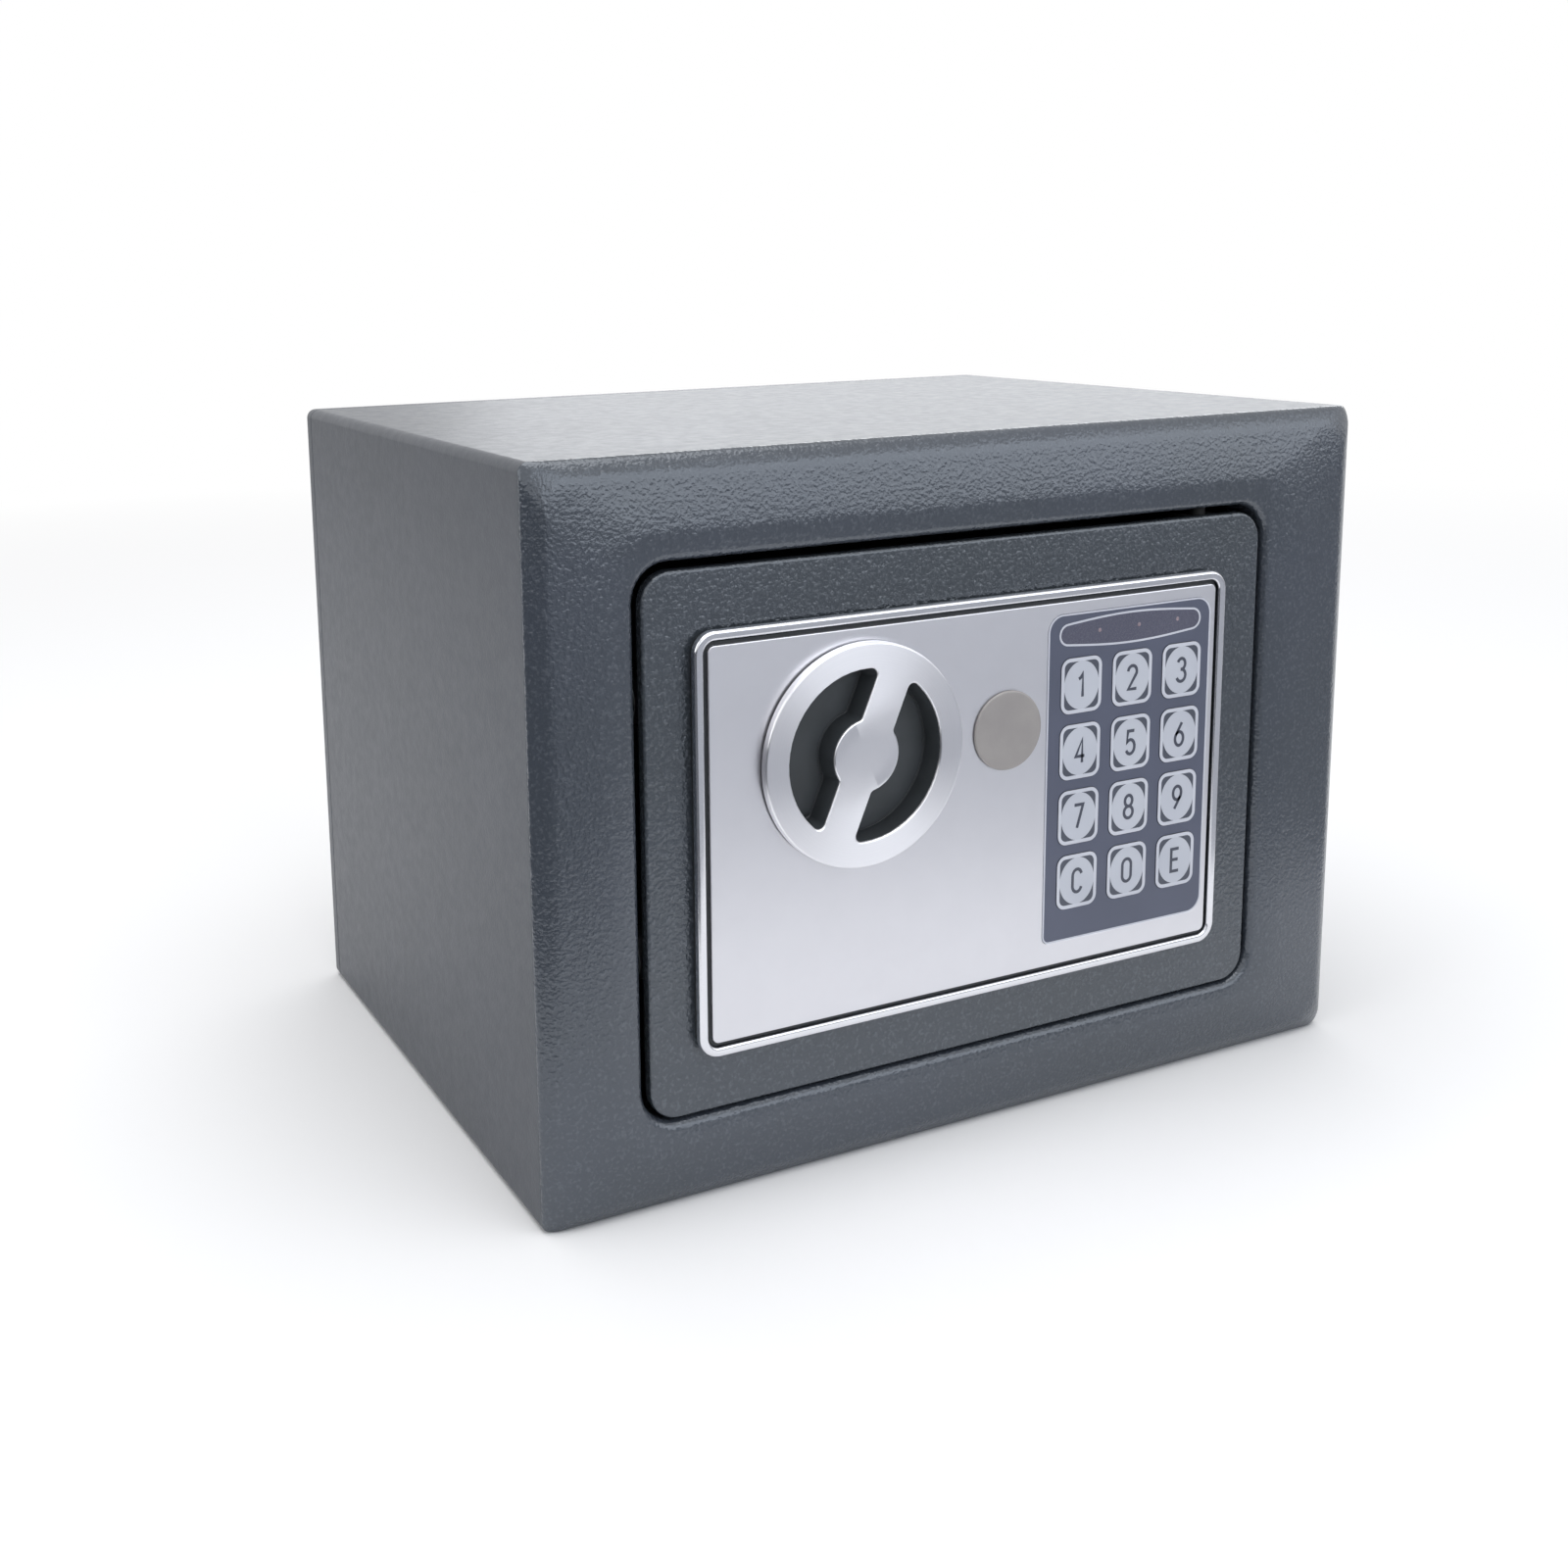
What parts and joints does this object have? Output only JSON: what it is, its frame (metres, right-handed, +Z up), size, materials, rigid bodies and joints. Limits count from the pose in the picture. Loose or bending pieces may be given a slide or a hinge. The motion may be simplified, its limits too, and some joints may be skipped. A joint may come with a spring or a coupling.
{
  "type": "electronic safe",
  "caption": "Small sheet-steel safe with a hinged door, turn knob, keypad, hidden key lock and sliding bolts.",
  "frame": {"origin": "centre of the flat base, on the surface the safe stands on", "axes": "+X to the right as seen from the front, -Y out of the front with the door and knob, +Z up"},
  "size_m": [0.23, 0.1744, 0.17],
  "materials": {
    "housing_paint": "grey powder coat, fine orange peel, semi-gloss",
    "frame_paint": "grey powder coat, strong orange peel, semi-gloss",
    "door_paint": "grey powder coat, strong orange peel, semi-gloss",
    "bright_trim": "bright satin plated",
    "satin_plate": "fine satin silver",
    "satin_knob": "satin silver",
    "cap_metal": "warm grey matt",
    "dark_plastic": "dark grey moulded, fine texture",
    "keypad_film": "slate blue printed film",
    "key_film": "silver grey printed film",
    "led_lens": "smoked light bar",
    "circuit_board": "green solder mask",
    "zinc_steel": "zinc plated",
    "spring_steel": "bright drawn",
    "brass": "machined",
    "copper_winding": "enamelled winding",
    "cable_jacket": "flat grey ribbon",
    "battery_sleeve": "printed sleeve, plain",
    "red_plastic": "moulded",
    "mat_fabric": "needle felt",
    "rubber": "matt black"
  },
  "bodies": {
    "housing": {"body_wrap": "housing_paint", "back_panel": "housing_paint", "front_frame": "frame_paint", "anchor_plug_left": "rubber", "anchor_plug_right": "rubber", "floor_mat": "mat_fabric"},
    "door": {"door_plate": "door_paint", "hinge_knuckle_upper": "zinc_steel", "hinge_knuckle_lower": "zinc_steel", "hinge_pin_upper": "zinc_steel", "hinge_pin_lower": "zinc_steel", "panel_base": "dark_plastic", "panel_bezel": "bright_trim", "face_plate": "satin_plate", "keypad_overlay": "keypad_film", "keypad_board": "circuit_board", "led_strip": "led_lens", "bolt_guide": "zinc_steel", "solenoid_frame": "zinc_steel", "solenoid_coil": "copper_winding", "plunger_spring": "spring_steel", "lock_body": "brass", "inner_cover": "dark_plastic", "battery_holder": "dark_plastic", "battery_1": "battery_sleeve", "battery_2": "battery_sleeve", "battery_3": "battery_sleeve", "battery_4": "battery_sleeve", "cover_screw_1": "zinc_steel", "cover_screw_2": "zinc_steel", "cover_screw_3": "zinc_steel", "cover_screw_4": "zinc_steel", "control_board": "circuit_board", "keypad_cable": "cable_jacket"},
    "knob": {"knob_face": "satin_knob", "knob_cup": "dark_plastic", "knob_shaft": "zinc_steel", "knob_crank": "zinc_steel"},
    "bolts": {"bolt_carriage": "zinc_steel", "bolt_upper": "zinc_steel", "bolt_lower": "zinc_steel"},
    "plunger": {"solenoid_plunger": "spring_steel"},
    "emergency_lock": {"lock_plug": "brass", "lock_cam": "zinc_steel"},
    "cap": {"key_cap": "cap_metal"},
    "battery_lid": {"battery_cover": "dark_plastic"},
    "reset": {"reset_button": "red_plastic"},
    "button_1": {"key_1": "key_film"},
    "button_2": {"key_2": "key_film"},
    "button_3": {"key_3": "key_film"},
    "button_4": {"key_4": "key_film"},
    "button_5": {"key_5": "key_film"},
    "button_6": {"key_6": "key_film"},
    "button_7": {"key_7": "key_film"},
    "button_8": {"key_8": "key_film"},
    "button_9": {"key_9": "key_film"},
    "button_c": {"key_c": "key_film"},
    "button_0": {"key_0": "key_film"},
    "button_e": {"key_e": "key_film"}
  },
  "joints": [
    {"name": "door_hinge", "type": "hinge", "parent": "housing", "child": "door", "pos_m": [0.067, -0.0784, 0.084], "axis": [0, 0, 1], "range_deg": [0, 105]},
    {"name": "knob_turn", "type": "hinge", "parent": "door", "child": "knob", "pos_m": [-0.0372, -0.0894, 0.0998], "axis": [0, -1, 0], "range_deg": [0, 60]},
    {"name": "bolt_slide", "type": "slide", "parent": "door", "child": "bolts", "axis": [-1, 0, 0], "range_m": [0, 0.013]},
    {"name": "plunger_slide", "type": "slide", "parent": "door", "child": "plunger", "axis": [0, 0, 1], "range_m": [0, 0.005], "deforming": ["plunger_spring"]},
    {"name": "lock_turn", "type": "hinge", "parent": "door", "child": "emergency_lock", "pos_m": [0.0031, -0.0849, 0.0998], "axis": [0, -1, 0], "range_deg": [-90, 0]},
    {"name": "cap_pull", "type": "slide", "parent": "door", "child": "cap", "axis": [0, -1, 0], "range_m": [0, 0.012]},
    {"name": "battery_lid_slide", "type": "slide", "parent": "door", "child": "battery_lid", "axis": [0, 1, 0], "range_m": [0, 0.01]},
    {"name": "reset_press", "type": "slide", "parent": "door", "child": "reset", "axis": [0, -1, 0], "range_m": [0, 0.002], "stiffness_N_per_m": 400},
    {"name": "press_1", "type": "slide", "parent": "door", "child": "button_1", "axis": [0, 1, 0], "range_m": [0, 0.0004], "stiffness_N_per_m": 1200},
    {"name": "press_2", "type": "slide", "parent": "door", "child": "button_2", "axis": [0, 1, 0], "range_m": [0, 0.0004], "stiffness_N_per_m": 1200},
    {"name": "press_3", "type": "slide", "parent": "door", "child": "button_3", "axis": [0, 1, 0], "range_m": [0, 0.0004], "stiffness_N_per_m": 1200},
    {"name": "press_4", "type": "slide", "parent": "door", "child": "button_4", "axis": [0, 1, 0], "range_m": [0, 0.0004], "stiffness_N_per_m": 1200},
    {"name": "press_5", "type": "slide", "parent": "door", "child": "button_5", "axis": [0, 1, 0], "range_m": [0, 0.0004], "stiffness_N_per_m": 1200},
    {"name": "press_6", "type": "slide", "parent": "door", "child": "button_6", "axis": [0, 1, 0], "range_m": [0, 0.0004], "stiffness_N_per_m": 1200},
    {"name": "press_7", "type": "slide", "parent": "door", "child": "button_7", "axis": [0, 1, 0], "range_m": [0, 0.0004], "stiffness_N_per_m": 1200},
    {"name": "press_8", "type": "slide", "parent": "door", "child": "button_8", "axis": [0, 1, 0], "range_m": [0, 0.0004], "stiffness_N_per_m": 1200},
    {"name": "press_9", "type": "slide", "parent": "door", "child": "button_9", "axis": [0, 1, 0], "range_m": [0, 0.0004], "stiffness_N_per_m": 1200},
    {"name": "press_c", "type": "slide", "parent": "door", "child": "button_c", "axis": [0, 1, 0], "range_m": [0, 0.0004], "stiffness_N_per_m": 1200},
    {"name": "press_0", "type": "slide", "parent": "door", "child": "button_0", "axis": [0, 1, 0], "range_m": [0, 0.0004], "stiffness_N_per_m": 1200},
    {"name": "press_e", "type": "slide", "parent": "door", "child": "button_e", "axis": [0, 1, 0], "range_m": [0, 0.0004], "stiffness_N_per_m": 1200}
  ],
  "couplings": [
    {"joint": "knob_turn", "follows": "bolt_slide", "rad_per_m": 80.554}
  ]
}
